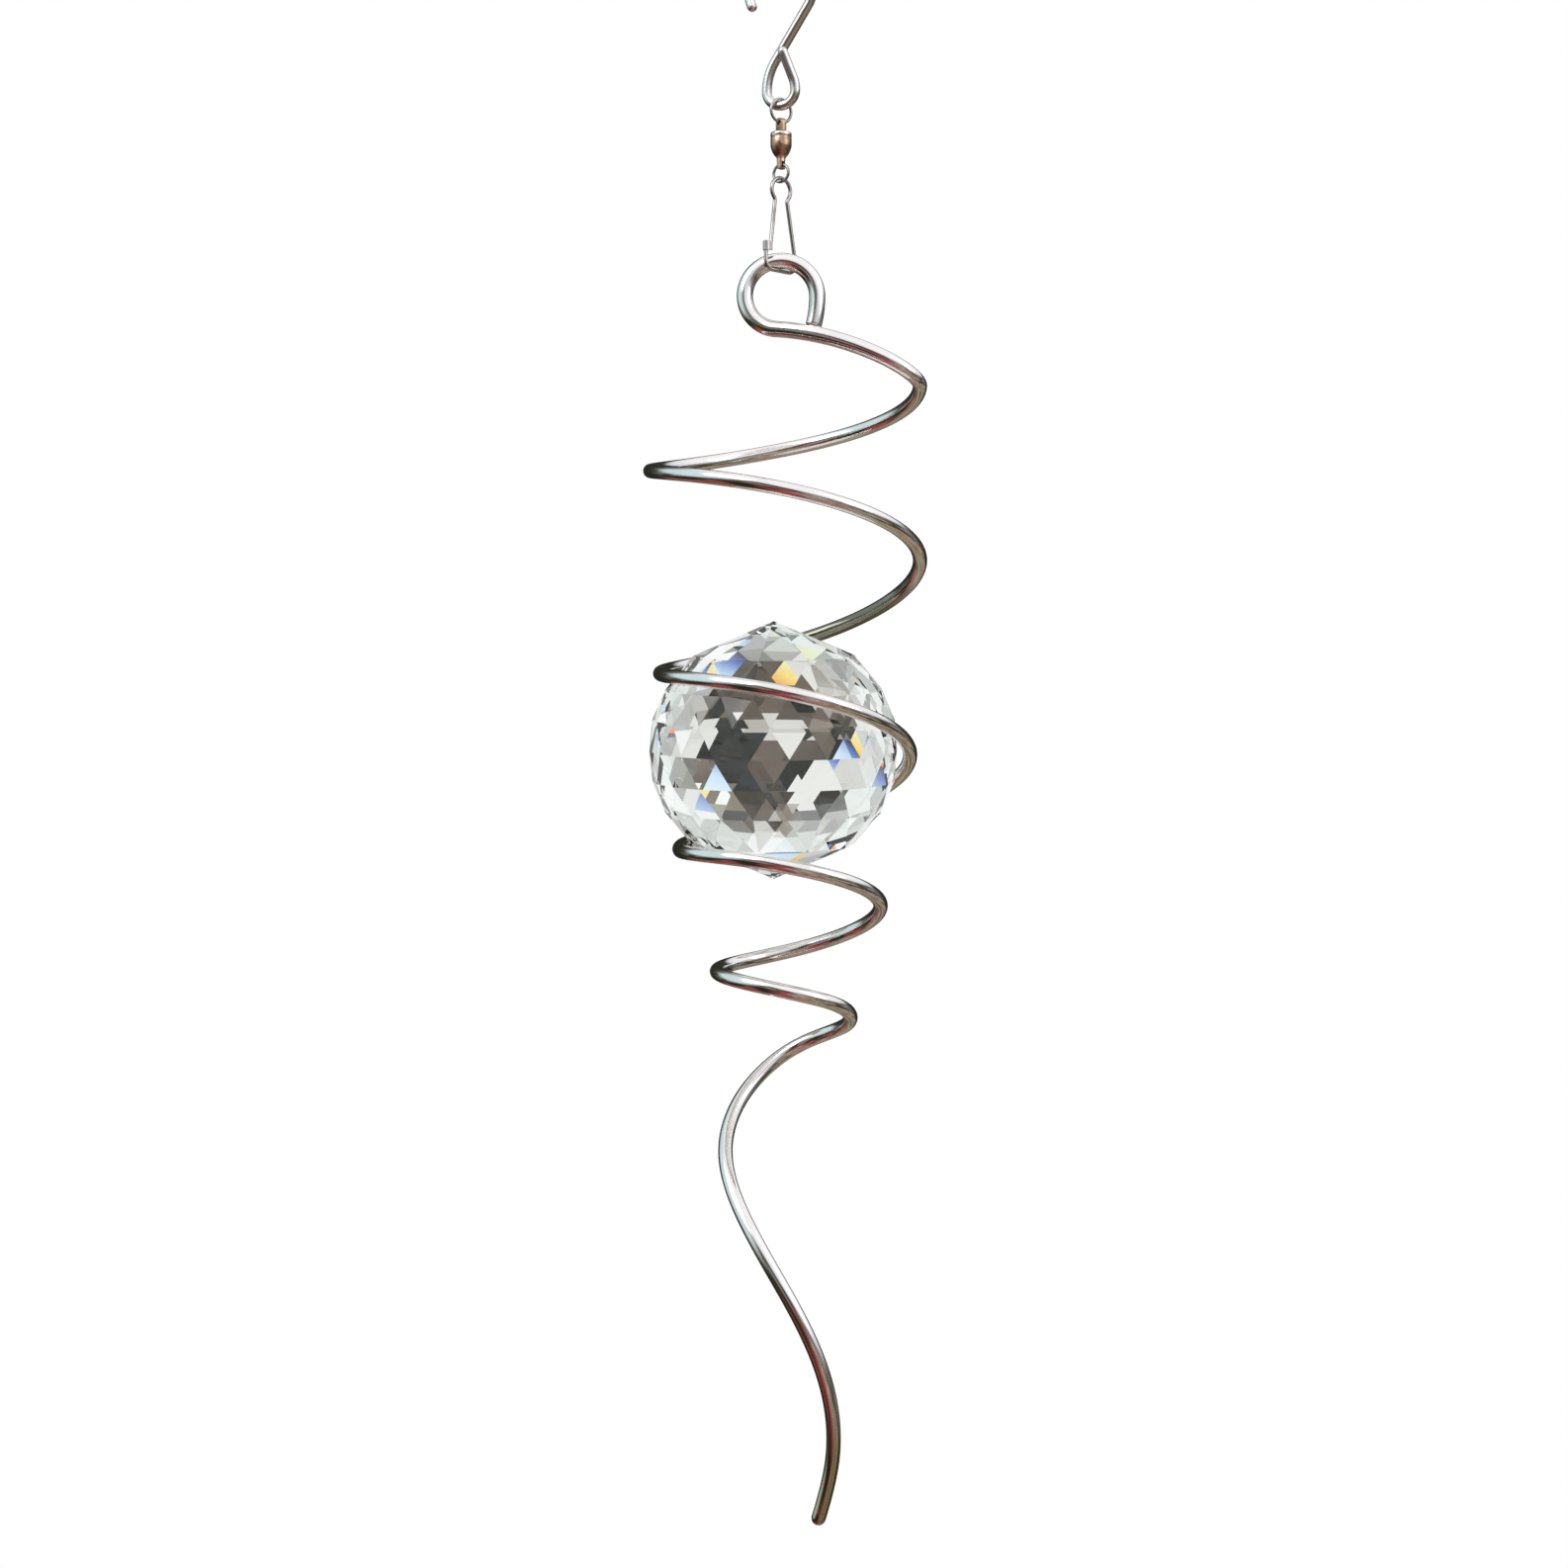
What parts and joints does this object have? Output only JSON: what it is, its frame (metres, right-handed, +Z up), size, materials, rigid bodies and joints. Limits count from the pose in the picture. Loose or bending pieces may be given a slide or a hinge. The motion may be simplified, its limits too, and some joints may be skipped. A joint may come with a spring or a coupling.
{
  "type": "wind spinner",
  "caption": "Hanging garden wind spinner: a tapering polished wire spiral caging a faceted glass ball, on a snap and ball-bearing swivel below an open wire hook.",
  "frame": {"origin": "where the inside of the hook's crook bears on what it hangs from", "axes": "+Z up along the hanging line, +X to the right seen from the front, +Y to the back"},
  "size_m": [0.0573, 0.0572, 0.3186],
  "materials": {
    "hook_steel": "satin",
    "ring_steel": "satin",
    "swivel_brass": "satin",
    "cap_brass": "polished",
    "bearing_steel": "polished",
    "snap_steel": "polished",
    "spiral_steel": "polished",
    "crystal": "polished"
  },
  "bodies": {
    "hook": {"hanger_hook": "hook_steel"},
    "upper_ring": {"upper_ring": "ring_steel"},
    "upper_stem": {"upper_stem": "swivel_brass"},
    "swivel": {"swivel_cap": "cap_brass", "swivel_body": "swivel_brass"},
    "bearing": {"bearing_balls": "bearing_steel"},
    "lower_stem": {"lower_stem": "swivel_brass"},
    "lower_ring": {"lower_ring": "ring_steel"},
    "snap": {"snap_frame": "snap_steel"},
    "gate": {"snap_gate": "snap_steel"},
    "spiral": {"spiral_wire": "spiral_steel"},
    "ball": {"crystal_ball": "crystal"}
  },
  "joints": [
    {"name": "ring_on_hook", "type": "hinge", "parent": "hook", "child": "upper_ring", "pos_m": [0, 0, -0.03016], "axis": [0.9272, -0.3746, 0], "range_deg": [-45, 45]},
    {"name": "stem_on_ring", "type": "hinge", "parent": "upper_ring", "child": "upper_stem", "pos_m": [0, 0, -0.03368], "axis": [0.8192, 0.5736, 0], "range_deg": [-50, 50]},
    {"name": "swivel_spin", "type": "hinge", "parent": "upper_stem", "child": "swivel", "pos_m": [0, 0, -0.03668], "axis": [0, 0, 1], "continuous": true},
    {"name": "bearing_spin", "type": "hinge", "parent": "upper_stem", "child": "bearing", "pos_m": [0, 0, -0.03671], "axis": [0, 0, 1], "continuous": true},
    {"name": "neck_spin", "type": "hinge", "parent": "swivel", "child": "lower_stem", "pos_m": [0, 0, -0.04108], "axis": [0, 0, 1], "continuous": true},
    {"name": "ring_on_stem", "type": "hinge", "parent": "lower_stem", "child": "lower_ring", "pos_m": [0, 0, -0.04238], "axis": [0.8192, -0.5736, 0], "range_deg": [-50, 50]},
    {"name": "snap_swing", "type": "hinge", "parent": "lower_ring", "child": "snap", "pos_m": [0, 0, -0.0452], "axis": [0.7431, 0.6691, 0], "range_deg": [-45, 45]},
    {"name": "gate_flex", "type": "hinge", "parent": "snap", "child": "gate", "pos_m": [-0.00124, -0.00112, -0.05022], "axis": [-0.6691, 0.7431, 0], "range_deg": [-15, 0], "stiffness_Nm_per_rad": 0.04},
    {"name": "spiral_on_snap", "type": "hinge", "parent": "snap", "child": "spiral", "pos_m": [0, 0, -0.0645], "axis": [0.7431, 0.6691, 0], "range_deg": [-15, 15]},
    {"name": "ball_turn", "type": "hinge", "parent": "spiral", "child": "ball", "pos_m": [-0.0015, 0.0006, -0.16237], "axis": [0, -0.2419, 0.9703], "continuous": true}
  ],
  "couplings": [
    {"joint": "bearing_spin", "follows": "swivel_spin", "ratio": 0.5}
  ]
}
